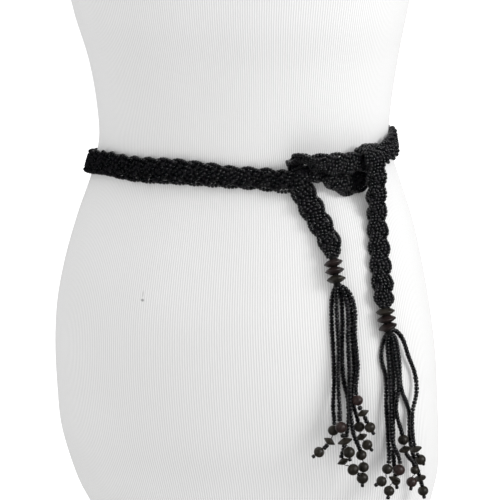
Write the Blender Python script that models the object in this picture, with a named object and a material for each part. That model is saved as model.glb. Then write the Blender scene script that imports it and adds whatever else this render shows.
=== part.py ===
# Beaded belt tied round a limbless dress form.
# The belt is one flat braid of seed-bead strands, with a half knot, two tails, wood collars and two tassels.
# Metres, +Z up. The origin is the middle of the form's flat base, and the form's front faces -Y.

import math

import bmesh
import bpy
import numpy as np
from mathutils import Matrix, Vector

MM = 0.001
SEAM_GAP = 0.3
SMOOTH_BELOW = math.radians(50)

# Dress form, in millimetres: each row is a level of the body, measured from the middle of its base.
FORM_ROWS = (
    # height, half_width, front, back, roundness
    (0, 155, 61, 135, 2.2),
    (30, 167, 78, 126, 2.2),
    (60, 175, 90, 124, 2.2),
    (90, 178, 104, 118, 2.2),
    (130, 178, 115, 115, 2.2),
    (170, 177, 121, 111, 2.2),
    (210, 173, 122, 104, 2.2),
    (250, 165.5, 115, 99, 2.2),
    (290, 155, 104, 96, 2.2),
    (330, 141, 96, 92, 2.2),
    (360, 132.5, 98, 86, 2.2),
    (390, 134, 101, 89, 2.2),
    (430, 140, 108, 92, 2.2),
    (473, 149, 120, 90, 2.3),
    (530, 160, 126, 96, 2.4),
    (575, 161, 120, 96, 2.4),
    (630, 165, 102, 94, 2.3),
    (680, 172, 85, 93, 2.3),
    (720, 170, 70, 84, 2.2),
    (742, 148, 60, 74, 2.15),
    (758, 108, 54, 66, 2.1),
    (775, 72, 50, 58, 2.0),
    (800, 58, 49, 53, 2.0),
    (830, 56, 48, 52, 2.0),
)
FORM_SIDES = 36
FORM_STEP = 29.0
WAIST_STEP = 12.0
WAIST_BAND = (290.0, 400.0)
SHOULDER_START = 720.0
SHOULDER_LEVELS = (731.0, 742.0, 750.0, 758.0, 766.0, 775.0, 787.0, 800.0, 815.0, 830.0)
NECK_RIMS = (
    # inset, rise above the top row
    (5.0, 3.0),
    (20.0, 5.0),
)

# Braid, in millimetres: four groups of three seed-bead strands cross over and under each other.
# Round the waist it is pulled tight, so its groups run longer along the edges and the edges are straighter.
SCALLOP = 15.7
GROUPS = 4
GROUP_SWING = 5.5
GROUP_WEAVE = 2.4
GROUP_HALF_WIDTH = 5.15
GROUP_HALF_THICKNESS = 1.7
SWING_SHARPNESS = 0.95
WAIST_STRAIGHTNESS = 0.6
WAIST_EASE = 60.0
CORE_HALF_WIDTH = 5.0
CORE_HALF_THICKNESS = 2.4
BRAID_SIDES = 12
SAMPLES_PER_SCALLOP = 4
TAIL_TAPER = 9.0
TAIL_END_SCALE = 0.55
LIES_FLAT = 0.85
TURN_TO_FORM = 0.3
RAY_FLATNESS = 0.5
MM_PER_TURN_DEGREE = 2.1
ROUTE_PIECES = 24

# The braid's route from the left tail's end, through the knot, round the waist and down the right tail.
# turn is the angle round the form in degrees from its front, to the form's left; height is above the base;
# lift is how far the braid's middle lies off the form, and width is a share of the braid's full width.
LEFT_TIE_ROUTE = (
    # turn, height, lift, width
    (40.2, 271.6, 9.2, 1.0),
    (40.3, 279.4, 7.8, 1.0),
    (39.6, 288.3, 5.4, 1.0),
    (37.0, 302.2, 4.8, 1.08),
    (34.0, 318.7, 4.8, 1.12),
    (32.6, 328.5, 4.8, 1.05),
    (32.2, 341.0, 4.8, 0.83),
    (31.5, 347.8, 5.7, 0.75),
    (31.9, 353.7, 15.8, 0.78),
    (33.4, 356.4, 22.7, 0.88),
    (35.8, 353.9, 25.8, 0.95),
    (41.0, 351.6, 23.2, 1.0),
    (46.9, 350.5, 20.0, 1.0),
    (53.0, 350.3, 16.9, 0.92),
    (59.1, 349.9, 15.5, 0.78),
    (65.9, 349.2, 15.3, 0.71),
    (73.2, 353.9, 13.0, 0.9),
    (82.0, 356.9, 10.4, 1.05),
)
WAIST_ROUTE = (
    # turn, height, lift, width
    (101.0, 361.0, 5.4, 1.05),
    (120.0, 362.0, 4.8, 1.05),
    (150.0, 358.5, 4.8, 1.05),
    (180.0, 352.0, 4.8, 1.05),
    (210.0, 345.0, 4.8, 1.05),
    (240.0, 338.5, 4.8, 1.05),
    (270.0, 336.0, 4.8, 1.05),
    (295.0, 339.0, 4.8, 1.05),
    (317.3, 341.4, 4.8, 1.08),
    (330.2, 339.6, 4.8, 1.1),
    (340.0, 339.4, 4.8, 1.14),
    (349.0, 339.8, 4.8, 1.14),
    (358.6, 338.8, 4.8, 1.08),
    (368.5, 336.9, 4.8, 0.98),
)
RIGHT_TIE_ROUTE = (
    # turn, height, lift, width
    (378.4, 336.0, 4.8, 1.0),
    (383.4, 334.9, 7.2, 1.05),
    (387.1, 335.0, 11.6, 1.0),
    (391.1, 338.2, 14.6, 0.9),
    (395.4, 342.0, 14.4, 0.88),
    (400.1, 342.8, 12.2, 0.92),
    (404.9, 338.0, 8.6, 1.0),
    (409.8, 332.1, 5.6, 1.05),
    (416.2, 331.2, 4.8, 1.05),
    (420.9, 337.0, 4.8, 1.0),
    (422.9, 345.9, 4.8, 0.95),
    (424.0, 354.9, 6.4, 0.81),
    (423.4, 362.2, 14.5, 0.86),
    (422.2, 358.8, 24.0, 0.88),
    (422.2, 349.2, 25.4, 0.95),
    (421.4, 339.6, 23.6, 1.0),
    (421.3, 330.6, 20.0, 1.0),
    (421.5, 320.2, 15.5, 1.0),
    (422.3, 309.6, 10.0, 1.0),
    (422.7, 299.3, 6.0, 1.0),
    (422.0, 286.5, 4.8, 1.05),
    (421.0, 265.6, 4.8, 1.05),
    (420.3, 249.0, 5.6, 1.05),
    (419.3, 236.2, 8.2, 1.0),
    (418.7, 227.3, 9.2, 1.0),
)

# Wood collar below each tail, in millimetres: flat bicone beads on the bound core of the tassel's threads.
CORE_RADIUS = 3.0
COLLAR_RADIUS = 8.25
COLLAR_BORE = 3.9
COLLAR_HALF_THICKNESS = 3.1
COLLAR_RIM = 0.5
COLLAR_SIDES = 14
LEFT_COLLAR = (
    # distance below the braid's end, tilt in degrees
    (6.0, 4.0),
    (12.8, 1.0),
    (20.1, -1.0),
)
RIGHT_COLLAR = (
    # distance below the braid's end, tilt in degrees
    (4.6, -2.0),
    (11.2, 1.0),
    (18.1, 10.0),
)
LEFT_ROOT = (41.2, 247.3, 9.2)
RIGHT_ROOT = (59.3, 204.6, 9.2)

# Tassel strands, in millimetres. Below the fullest level of the hips a strand hangs plumb.
HANG_HEIGHT = 190.0
STRAND_RADIUS = 1.6
THREAD_RADIUS = 0.75
NUB_RADIUS = 1.9
NUB_HALF_LENGTH = 1.3
STRAND_SIDES = 4
ROOT_SPREAD = 1.1
ROOT_DEPTH = 0.7
ROOT_SUNK = 2.0
CORE_TIP = 1.5
CORE_LEAD = 1.8
CORE_SIDES = 12
STRAND_STEP = 9.0
SEED_STEP = 0.7
SHORTEST_SEEDED = 4.0
BEAD_PLAY = 0.35
BEADS = {
    # kind: (radius, half length, bore radius)
    "round": (4.75, 4.4, 1.15),
    "small": (3.9, 3.6, 1.15),
    "large": (5.2, 4.8, 1.15),
    "bicone": (5.5, 2.8, 1.15),
    "wide": (6.6, 3.0, 1.15),
}
BEAD_SIDES = 10
LEFT_STRANDS = (
    (
        # turn, height, lift, piece
        (40.5, 239.9, 3.0, None),
        (39.4, 217.2, 3.0, None),
        (39.2, 193.8, 3.0, None),
        (39.5, 170.1, 3.0, None),
        (39.1, 140.4, 4.0, None),
        (39.0, 120.9, 5.2, "round"),
        (37.4, 112.0, 8.0, "bicone"),
        (34.0, 102.9, 9.0, "round"),
        (32.1, 100.2, 10.0, "nub"),
    ),
    (
        (41.2, 239.5, 6.0, None),
        (40.6, 217.7, 7.0, None),
        (40.5, 194.4, 7.0, None),
        (40.1, 167.5, 8.0, None),
        (40.3, 141.4, 10.0, None),
        (40.2, 125.4, 14.2, "large"),
        (41.4, 113.2, 15.0, "wide"),
        (42.7, 103.3, 15.0, "large"),
        (42.5, 97.0, 15.0, "nub"),
    ),
    (
        (43.2, 238.9, 3.0, None),
        (43.2, 216.9, 3.0, None),
        (42.3, 193.6, 3.0, None),
        (42.8, 164.5, 3.0, None),
        (44.4, 146.8, 3.0, None),
        (44.5, 124.7, 3.0, None),
        (42.9, 104.7, 4.0, None),
        (42.0, 93.8, 8.0, "bicone"),
        (44.5, 87.4, 13.0, "large"),
        (46.0, 83.6, 14.0, "nub"),
    ),
    (
        (43.9, 240.2, 6.5, None),
        (44.6, 225.9, 7.0, None),
        (43.9, 200.2, 7.0, None),
        (44.1, 173.9, 7.0, None),
        (44.0, 147.6, 8.5, None),
        (44.8, 119.6, 11.0, None),
        (47.8, 99.2, 10.5, "round"),
        (49.3, 87.6, 7.6, "round"),
        (49.3, 77.4, 6.0, "large"),
        (49.6, 71.2, 6.0, "nub"),
    ),
    (
        (45.2, 241.3, 3.0, None),
        (46.7, 226.8, 3.0, None),
        (46.3, 199.3, 3.0, None),
        (46.6, 172.9, 3.0, None),
        (45.9, 146.8, 4.0, None),
        (48.2, 123.0, 5.0, "round"),
        (49.0, 113.8, 5.0, "bicone"),
        (51.0, 106.7, 6.0, "round"),
        (52.7, 102.7, 6.0, "nub"),
    ),
    (
        (45.3, 241.9, 7.0, None),
        (47.2, 227.3, 7.0, None),
        (46.5, 204.3, 7.0, None),
        (46.9, 178.1, 7.5, None),
        (46.4, 147.6, 10.2, "round"),
        (48.1, 136.3, 11.5, "bicone"),
        (50.3, 123.7, 13.0, "round"),
        (52.0, 117.6, 13.0, "nub"),
    ),
)
RIGHT_STRANDS = (
    (
        # turn, height, lift, piece
        (58.7, 196.4, 3.0, None),
        (57.5, 181.7, 3.0, None),
        (59.6, 163.6, 3.0, None),
        (59.4, 142.5, 4.0, None),
        (60.5, 108.5, 4.0, None),
        (59.5, 83.2, 6.0, "round"),
        (56.7, 73.2, 7.0, "round"),
        (54.3, 74.1, 7.0, "nub"),
    ),
    (
        (59.2, 195.1, 6.5, None),
        (59.5, 175.7, 7.0, None),
        (60.0, 144.8, 8.0, None),
        (60.5, 109.4, 9.0, None),
        (62.7, 82.6, 12.0, "large"),
        (60.1, 75.1, 13.6, "bicone"),
        (57.7, 65.8, 14.0, "round"),
        (58.1, 60.2, 14.0, "nub"),
    ),
    (
        (61.6, 194.0, 3.0, None),
        (63.0, 169.9, 3.0, None),
        (63.3, 143.2, 3.0, None),
        (63.3, 107.5, 3.0, None),
        (63.5, 85.3, 4.0, None),
        (63.7, 71.0, 6.0, "small"),
        (64.2, 64.8, 6.0, "nub"),
    ),
    (
        (61.3, 196.5, 7.2, None),
        (62.3, 179.5, 7.0, None),
        (64.1, 156.9, 7.0, None),
        (63.0, 135.0, 7.0, None),
        (66.3, 107.7, 8.0, "round"),
        (66.8, 99.0, 9.0, "bicone"),
        (72.4, 78.5, 9.0, "small"),
        (71.8, 67.6, 6.8, "round"),
        (72.0, 60.9, 6.8, "nub"),
    ),
    (
        (63.7, 198.1, 4.0, None),
        (66.0, 177.9, 3.0, None),
        (67.2, 152.8, 3.0, None),
        (71.7, 131.8, 3.0, None),
        (72.8, 104.5, 3.0, None),
        (76.5, 83.2, 2.8, None),
        (79.5, 67.4, 4.0, "bicone"),
        (81.3, 55.3, 5.0, "round"),
        (82.0, 48.4, 5.0, "nub"),
    ),
    (
        (64.4, 204.3, 5.0, None),
        (66.6, 197.7, 6.0, None),
        (69.4, 181.8, 6.0, None),
        (73.8, 162.7, 6.0, None),
        (74.2, 147.5, 7.0, None),
        (71.5, 130.6, 7.5, None),
        (71.7, 107.4, 8.0, None),
        (72.0, 97.6, 10.6, "bicone"),
        (74.6, 87.3, 11.2, "round"),
        (78.6, 81.8, 10.6, "nub"),
    ),
)

# Colours and finishes of the real materials: (red, green, blue), roughness
JERSEY = ((0.86, 0.86, 0.85), 0.85)
SEED_GLASS = ((0.012, 0.013, 0.014), 0.28)
BROWN_WOOD = ((0.065, 0.032, 0.026), 0.55)
DARK_WOOD = ((0.032, 0.027, 0.023), 0.5)


# Scene and collections
for old in list(bpy.data.objects):
    bpy.data.objects.remove(old, do_unlink=True)

part_collection = bpy.data.collections.new("beaded_belt")
cutter_collection = bpy.data.collections.new("beaded_belt_cutters")
bpy.context.scene.collection.children.link(part_collection)
bpy.context.scene.collection.children.link(cutter_collection)


def finish_of(name, finish):
    """A Principled BSDF material of its own for one piece."""
    colour, roughness = finish
    material = bpy.data.materials.new(name + "_finish")
    material.use_nodes = True
    shader = material.node_tree.nodes["Principled BSDF"]
    shader.inputs["Base Color"].default_value = (*colour, 1.0)
    shader.inputs["Roughness"].default_value = roughness
    shader.inputs["Metallic"].default_value = 0.0
    return material


def add_object(name, mesh, finish, collection=part_collection):
    """A mesh as a named object in a collection, with its finish."""
    piece = bpy.data.objects.new(name, mesh)
    collection.objects.link(piece)
    if finish:
        mesh.materials.append(finish_of(name, finish))
    return piece


def loft(name, rings):
    """A closed mesh through rings of equal point counts, given in millimetres, with flat ends."""
    bm = bmesh.new()
    levels = [[bm.verts.new(Vector(point) * MM) for point in ring] for ring in rings]
    sides = len(levels[0])
    for low, high in zip(levels, levels[1:]):
        for i in range(sides):
            j = (i + 1) % sides
            bm.faces.new((low[i], low[j], high[j], high[i]))
    bm.faces.new(list(reversed(levels[0])))
    bm.faces.new(levels[-1])
    bmesh.ops.recalc_face_normals(bm, faces=bm.faces)
    mesh = bpy.data.meshes.new(name)
    bm.to_mesh(mesh)
    bm.free()
    mesh.shade_smooth()
    mesh.set_sharp_from_angle(angle=SMOOTH_BELOW)
    return mesh


# Dress form
def between_rows(column, height):
    """One column of the form's table at any height, on a smooth curve through its rows."""
    x = np.array([row[0] for row in FORM_ROWS], float)
    y = np.array([row[column] for row in FORM_ROWS], float)
    height = min(max(height, x[0]), x[-1])
    i = min(int(np.searchsorted(x, height, side="right")) - 1, len(x) - 2)
    step = np.diff(x)
    rise = np.diff(y) / step
    inner = (rise[1:] * step[:-1] + rise[:-1] * step[1:]) / (x[2:] - x[:-2])
    slope = np.concatenate([rise[:1], inner, rise[-1:]])
    span = step[i]
    t = (height - x[i]) / span
    start = (2 * t**3 - 3 * t**2 + 1) * y[i] + (t**3 - 2 * t**2 + t) * span * slope[i]
    end = (3 * t**2 - 2 * t**3) * y[i + 1] + (t**3 - t**2) * span * slope[i + 1]
    return float(start + end)


def on_form(turn, height, lift=0.0, level=None):
    """The point off the form at a turn in degrees, a height and a lift, in millimetres."""
    level = height if level is None else level
    half_width = between_rows(1, level) + lift
    front, back = between_rows(2, level), between_rows(3, level)
    power = 2.0 / between_rows(4, level)
    across, ahead = math.sin(math.radians(turn)), math.cos(math.radians(turn))
    x = half_width * math.copysign(abs(across) ** power, across)
    y = (back - front) / 2 - ((front + back) / 2 + lift) * math.copysign(abs(ahead) ** power, ahead)
    return Vector((x, y, height))


def turn_at(place):
    """The turn of the form's point nearest to a place at the same height."""
    front, back = between_rows(2, place.z), between_rows(3, place.z)
    power = between_rows(4, place.z) / 2.0
    across = place.x / between_rows(1, place.z)
    ahead = -(place.y - (back - front) / 2) / ((front + back) / 2)
    return math.degrees(
        math.atan2(math.copysign(abs(across) ** power, across), math.copysign(abs(ahead) ** power, ahead))
    )


def off_form(turn, height):
    """The form's outward direction at a turn and a height."""
    around = on_form(turn + 0.5, height) - on_form(turn - 0.5, height)
    upward = on_form(turn, height + 1.0) - on_form(turn, height - 1.0)
    return around.cross(upward).normalized()


def form_heights():
    """Levels of the form's rings: close together at the waist and over the shoulders."""
    low, high = WAIST_BAND
    below = np.linspace(0.0, low, round(low / FORM_STEP) + 1)
    waist = np.linspace(low, high, round((high - low) / WAIST_STEP) + 1)
    above = np.linspace(high, SHOULDER_START, round((SHOULDER_START - high) / FORM_STEP) + 1)
    return list(below) + list(waist[1:]) + list(above[1:]) + list(SHOULDER_LEVELS)


def make_form():
    """The torso as one lofted body with a rounded neck rim."""
    turns = [360.0 * i / FORM_SIDES for i in range(FORM_SIDES)]
    rings = [[on_form(turn, height) for turn in turns] for height in form_heights()]
    top = FORM_ROWS[-1][0]
    for inset, rise in NECK_RIMS:
        rings.append([on_form(turn, top, -inset) + Vector((0, 0, rise)) for turn in turns])
    return add_object("dress_form", loft("dress_form", rings), JERSEY)


# Braid
def smooth_through(points, pieces):
    """Points on a smooth curve through the given points, with as many pieces to each span."""
    curve = []
    padded = [points[0] * 2 - points[1]] + points + [points[-1] * 2 - points[-2]]
    for before, start, end, after in zip(padded, padded[1:], padded[2:], padded[3:]):
        span = (end - start).length
        lead = (start - before).length
        tail = (after - end).length
        first = ((start - before) / lead * span + (end - start) / span * lead) / (lead + span) * span
        last = ((end - start) / span * tail + (after - end) / tail * span) / (span + tail) * span
        for k in range(pieces):
            t = k / pieces
            curve.append(
                start * (2 * t**3 - 3 * t**2 + 1)
                + first * (t**3 - 2 * t**2 + t)
                + end * (3 * t**2 - 2 * t**3)
                + last * (t**3 - t**2)
            )
    curve.append(points[-1])
    return curve


def evenly(points, widths, step):
    """Points, and the braid's widths there, at equal steps of about the given length along a fine curve."""
    run = np.concatenate([[0.0], np.cumsum([(b - a).length for a, b in zip(points, points[1:])])])
    count = max(1, round(run[-1] / step))
    table = np.array([list(point) for point in points])
    stops = np.linspace(0.0, run[-1], count + 1)
    places = [Vector([float(np.interp(stop, run, table[:, axis])) for axis in range(3)]) for stop in stops]
    return places, np.interp(stops, run, widths)


def swing(phase, straightness):
    """A group's place across the braid: a rounded zigzag, or a wave that runs along each edge for a while."""
    zigzag = math.asin(SWING_SHARPNESS * math.cos(phase)) / math.asin(SWING_SHARPNESS)
    wave = math.sin(math.pi / 2 * math.cos(phase))
    return GROUP_SWING * (zigzag + (wave - zigzag) * straightness)


def ellipse_reach(direction, centre, half_width, half_thickness):
    """How far a ray from the middle goes before it leaves an ellipse, or 0 where it misses."""
    ux, uz = direction[0] / half_width, direction[1] / half_thickness
    cx, cz = centre[0] / half_width, centre[1] / half_thickness
    a = ux * ux + uz * uz
    b = ux * cx + uz * cz
    under_root = b * b - a * (cx * cx + cz * cz - 1.0)
    return (b + math.sqrt(under_root)) / a if under_root > 0 else 0.0


def braid_outline(along, straightness):
    """The braid's outline across its run, as (across, proud) pairs, with its crossing groups in relief."""
    phase = 2 * math.pi * along / (GROUPS * SCALLOP)
    outline = []
    for i in range(BRAID_SIDES):
        angle = 2 * math.pi * i / BRAID_SIDES
        direction = Vector((math.cos(angle), RAY_FLATNESS * math.sin(angle))).normalized()
        reach = ellipse_reach(direction, (0, 0), CORE_HALF_WIDTH, CORE_HALF_THICKNESS)
        for group in range(GROUPS):
            turn = phase + 2 * math.pi * group / GROUPS
            centre = (swing(turn, straightness), GROUP_WEAVE * math.sin(3 * turn))
            reach = max(reach, ellipse_reach(direction, centre, GROUP_HALF_WIDTH, GROUP_HALF_THICKNESS))
        outline.append(direction * reach)
    return outline


def braid_line():
    """Stations of the whole braid, as (place, heading, outward direction), and its widths at them."""
    rows = LEFT_TIE_ROUTE + WAIST_ROUTE + RIGHT_TIE_ROUTE
    unrolled = [Vector((turn * MM_PER_TURN_DEGREE, height, lift)) for turn, height, lift, _ in rows]
    route = [on_form(u / MM_PER_TURN_DEGREE, v, w) for u, v, w in smooth_through(unrolled, ROUTE_PIECES)]
    row_numbers = np.arange(len(route)) / ROUTE_PIECES
    route_widths = np.interp(row_numbers, np.arange(len(rows)), [row[3] for row in rows])
    places, widths = evenly(route, route_widths, SCALLOP / SAMPLES_PER_SCALLOP)
    headings = []
    for i in range(len(places)):
        headings.append((places[min(i + 1, len(places) - 1)] - places[max(i - 1, 0)]).normalized())
    outward = off_form(*LEFT_TIE_ROUTE[0][:2])
    stations = []
    for place, heading in zip(places, headings):
        outward = (outward - heading * outward.dot(heading)).normalized()
        facing = off_form(turn_at(place), place.z)
        flat = facing - heading * facing.dot(heading)
        side = math.copysign(1.0, flat.dot(outward))
        if flat.length > LIES_FLAT:
            outward = (outward + flat * side * TURN_TO_FORM).normalized()
        stations.append((place, heading, outward))
    return stations, widths


def braid_ring(station, outline, width, scale, shift):
    """The braid's outline stood across its run at one station."""
    place, heading, outward = station
    sideways = outward.cross(heading)
    middle = place + heading * shift
    return [middle + sideways * (x * width * scale) + outward * (z * scale) for x, z in outline]


def tail_scale(distance):
    """The braid narrows where its strands are gathered into the collar."""
    t = min(distance / TAIL_TAPER, 1.0)
    return TAIL_END_SCALE + (1.0 - TAIL_END_SCALE) * math.sin(t * math.pi / 2)


def make_braid():
    """The three stretches of the braid, and the stations of its two tail ends."""
    stations, widths = braid_line()
    step = SCALLOP / SAMPLES_PER_SCALLOP
    waist_start = on_form(*WAIST_ROUTE[0][:3])
    right_start = on_form(*RIGHT_TIE_ROUTE[0][:3])
    first_cut = min(range(len(stations)), key=lambda i: (stations[i][0] - waist_start).length)
    second_cut = min(range(len(stations)), key=lambda i: (stations[i][0] - right_start).length)
    last = len(stations) - 1
    spans = {
        "tie_left": (0, first_cut),
        "belt_waist": (first_cut, second_cut),
        "tie_right": (second_cut, last),
    }
    for name, (start, end) in spans.items():
        rings = []
        for i in range(start, end + 1):
            scale = min(tail_scale(i * step), tail_scale((last - i) * step))
            shift = 0.0
            if i == start and start > 0:
                shift = SEAM_GAP / 2
            if i == end and end < last:
                shift = -SEAM_GAP / 2
            into_waist = min(i - first_cut, second_cut - i) * step / WAIST_EASE
            straightness = WAIST_STRAIGHTNESS * min(max(into_waist, 0.0), 1.0)
            outline = braid_outline(i * step, straightness)
            rings.append(braid_ring(stations[i], outline, widths[i], scale, shift))
        add_object(name, loft(name, rings), SEED_GLASS)
    first_place, first_heading, first_outward = stations[0]
    return (first_place, -first_heading, first_outward), stations[-1]


# Wood collars and threaded beads
def turned_piece(name, outline, sides, place, axis, finish):
    """A turned bead: an outline of (radius, distance along the axis), spun round and stood at a place."""
    rings = []
    for radius, along in outline:
        ring = []
        for i in range(sides):
            angle = 2 * math.pi * i / sides
            ring.append(Vector((radius * math.cos(angle), radius * math.sin(angle), along)))
        rings.append(ring)
    bm = bmesh.new()
    levels = [[bm.verts.new(point * MM) for point in ring] for ring in rings]
    for low, high in zip(levels, levels[1:] + levels[:1]):
        for i in range(sides):
            j = (i + 1) % sides
            bm.faces.new((low[i], low[j], high[j], high[i]))
    bmesh.ops.recalc_face_normals(bm, faces=bm.faces)
    mesh = bpy.data.meshes.new(name)
    bm.to_mesh(mesh)
    bm.free()
    mesh.shade_smooth()
    mesh.set_sharp_from_angle(angle=SMOOTH_BELOW)
    piece = add_object(name, mesh, finish)
    turn_to = Vector((0, 0, 1)).rotation_difference(axis)
    piece.matrix_world = Matrix.Translation(place * MM) @ turn_to.to_matrix().to_4x4()
    return piece


def collar_outline():
    """A flat bead with sloped faces and a narrow rim."""
    return (
        (COLLAR_BORE, COLLAR_HALF_THICKNESS),
        (COLLAR_RADIUS, COLLAR_RIM),
        (COLLAR_RADIUS, -COLLAR_RIM),
        (COLLAR_BORE, -COLLAR_HALF_THICKNESS),
    )


def bead_outline(kind):
    """A round bead is an arc from hole to hole, and a bicone meets in a sharp rim."""
    radius, half_length, bore = BEADS[kind]
    if kind in ("bicone", "wide"):
        return ((bore, half_length), (radius, 0.0), (bore, -half_length))
    open_angle = math.asin(bore / radius)
    outline = []
    for k in range(5):
        angle = open_angle + (math.pi - 2 * open_angle) * k / 4
        outline.append((radius * math.sin(angle), half_length * math.cos(angle) / math.cos(open_angle)))
    return tuple(outline)


def make_collar(side, rows, braid_end, root_place):
    """The flat wood beads of one collar, stacked and slightly tilted on the tassel's core."""
    axis = (root_place - braid_end).normalized()
    facing = off_form(turn_at(root_place), root_place.z)
    for number, (distance, tilt) in enumerate(rows, 1):
        place = braid_end + axis * distance
        leaning = axis.copy()
        leaning.rotate(Matrix.Rotation(math.radians(tilt), 3, facing))
        turned_piece(f"collar_{side}_{number}", collar_outline(), COLLAR_SIDES, place, leaning, BROWN_WOOD)


# Tassels
def strand_stops(root, rows):
    """A strand's stops from its root: place and piece, with its lower part hanging plumb."""
    stops = [(root, None)]
    for turn, height, lift, piece in rows:
        stops.append((on_form(turn, height, lift, max(height, HANG_HEIGHT)), piece))
    return stops


def half_length(piece):
    """How far a threaded piece reaches along its strand from its middle."""
    if piece is None:
        return 0.0
    return NUB_HALF_LENGTH if piece == "nub" else BEADS[piece][1]


def strand_line(stops):
    """Stations of (place, radius) down one strand, and its beads as (kind, place, axis)."""
    places = [place for place, _ in stops]
    headings = []
    for before, place, after in zip(places[:1] + places, places, places[1:] + places[-1:]):
        arriving, leaving = place - before, after - place
        headings.append((arriving.normalized() + leaving.normalized()).normalized())
    headings[-1] = headings[-2]
    places[-1] = places[-2] + headings[-2] * (half_length(stops[-2][1]) + BEAD_PLAY + NUB_HALF_LENGTH)
    stations = [(places[0], STRAND_RADIUS)]
    beads = []
    for i in range(1, len(stops)):
        above, piece = stops[i - 1][1], stops[i][1]
        leave = places[i - 1] + headings[i - 1] * (half_length(above) + (BEAD_PLAY if above else 0.0))
        arrive = places[i] - headings[i] * (half_length(piece) + (BEAD_PLAY if piece else 0.0))
        if piece == "nub":
            stations.append((leave, THREAD_RADIUS))
            stations.append((leave + headings[i] * BEAD_PLAY, NUB_RADIUS))
            stations.append((places[i] + headings[i] * NUB_HALF_LENGTH, NUB_RADIUS))
            break
        span = (arrive - leave).length
        seeded = span > SHORTEST_SEEDED if above else True
        if above:
            stations.append((leave, THREAD_RADIUS))
        count = max(1, round(span / STRAND_STEP))
        begin = SEED_STEP / span if above else 0.0
        finish = 1.0 - SEED_STEP / span if piece else 1.0
        for k in range(0 if above else 1, count + 1):
            if not seeded:
                break
            t = begin + (finish - begin) * k / count
            point = (
                leave * (2 * t**3 - 3 * t**2 + 1)
                + headings[i - 1] * span * (t**3 - 2 * t**2 + t)
                + arrive * (3 * t**2 - 2 * t**3)
                + headings[i] * span * (t**3 - t**2)
            )
            stations.append((point, STRAND_RADIUS))
        if piece:
            stations.append((arrive, THREAD_RADIUS))
            beads.append((piece, places[i], headings[i]))
    return stations, beads


def tube_rings(stations, sides):
    """Rings of a tube whose radius changes along it, without twist."""
    rings = []
    across = Vector((1, 0, 0))
    for i, (place, radius) in enumerate(stations):
        before = stations[max(i - 1, 0)][0]
        after = stations[min(i + 1, len(stations) - 1)][0]
        heading = (after - before).normalized()
        across = (across - heading * across.dot(heading)).normalized()
        upward = heading.cross(across)
        ring = []
        for k in range(sides):
            angle = 2 * math.pi * (k + 0.5) / sides
            ring.append(place + (across * math.cos(angle) + upward * math.sin(angle)) * radius)
        rings.append(ring)
    return rings


def make_tassel(side, braid_end, root, strands):
    """The bound core of the threads with its strands fused on, and the beads on each strand."""
    top, heading, _ = braid_end
    root_place = on_form(*root)
    axis = (root_place - top).normalized()
    core = [
        (top + heading * SEAM_GAP, CORE_RADIUS),
        (top + heading * CORE_LEAD, CORE_RADIUS),
        (root_place, CORE_RADIUS),
        (root_place + axis * CORE_TIP, CORE_RADIUS - CORE_TIP / 2),
    ]
    tassel = add_object(f"tassel_{side}", loft(f"tassel_{side}", tube_rings(core, CORE_SIDES)), SEED_GLASS)
    facing = off_form(turn_at(root_place), root_place.z)
    sideways = axis.cross(facing)
    count = len(strands)
    for number, rows in enumerate(strands, 1):
        spread = (number - (count + 1) / 2) / ((count - 1) / 2)
        depth = (-1) ** number * ROOT_DEPTH
        start = root_place - axis * ROOT_SUNK + sideways * spread * ROOT_SPREAD + facing * depth
        stations, beads = strand_line(strand_stops(start, rows))
        name = f"strand_{side}_{number}"
        strand = add_object(name, loft(name, tube_rings(stations, STRAND_SIDES)), None, cutter_collection)
        strand.hide_render = True
        strand.display_type = "WIRE"
        fuse = tassel.modifiers.new(name, "BOOLEAN")
        fuse.operation = "UNION"
        fuse.solver = "EXACT"
        fuse.object = strand
        for place_in_row, (kind, place, along) in enumerate(beads, 1):
            bead_name = f"bead_{side}_{number}_{place_in_row}"
            turned_piece(bead_name, bead_outline(kind), BEAD_SIDES, place, along, DARK_WOOD)
    return root_place


# The whole part
make_form()
left_end, right_end = make_braid()
for tie, braid_end, root, strands, collar in (
    ("left", left_end, LEFT_ROOT, LEFT_STRANDS, LEFT_COLLAR),
    ("right", right_end, RIGHT_ROOT, RIGHT_STRANDS, RIGHT_COLLAR),
):
    tassel_root = make_tassel(tie, braid_end, root, strands)
    make_collar(tie, collar, braid_end[0], tassel_root)
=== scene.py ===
# A flat braided belt of black seed beads, with wood collars and two beaded tassels.
# It is tied in a half knot round the waist of a limbless dress form in white ribbed jersey.
# Metres, +Z up. The form's front faces -Y, and the middle of its flat base is the origin.
import math

import bpy
import numpy as np
from mathutils import Matrix, Vector


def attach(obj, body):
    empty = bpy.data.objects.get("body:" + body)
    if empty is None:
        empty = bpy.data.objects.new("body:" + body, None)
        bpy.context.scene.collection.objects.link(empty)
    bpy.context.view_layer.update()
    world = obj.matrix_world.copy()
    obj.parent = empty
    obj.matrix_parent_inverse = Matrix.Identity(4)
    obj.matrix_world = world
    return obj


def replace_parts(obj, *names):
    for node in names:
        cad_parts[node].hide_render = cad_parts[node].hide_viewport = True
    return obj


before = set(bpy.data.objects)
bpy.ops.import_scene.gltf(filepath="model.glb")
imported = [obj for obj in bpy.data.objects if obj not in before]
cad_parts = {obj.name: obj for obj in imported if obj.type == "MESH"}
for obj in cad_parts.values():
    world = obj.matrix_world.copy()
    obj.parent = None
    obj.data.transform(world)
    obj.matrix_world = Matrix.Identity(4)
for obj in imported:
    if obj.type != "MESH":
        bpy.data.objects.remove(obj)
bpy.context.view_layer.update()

# Camera: a long lens a little above the waist, which sees the form's front turned 20 degrees to the left.
# The lens is shifted by a hundredth of the picture's width, and its focal length is in millimetres.
VIEW_POINT = Vector((0.0, 0.0, 0.258))
VIEW_TURN = math.radians(20)
VIEW_RISE = math.radians(8.5)
VIEW_DISTANCE = 2.3
SENSOR_WIDTH = 36.0
FOCAL_LENGTH = 182.07
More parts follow.
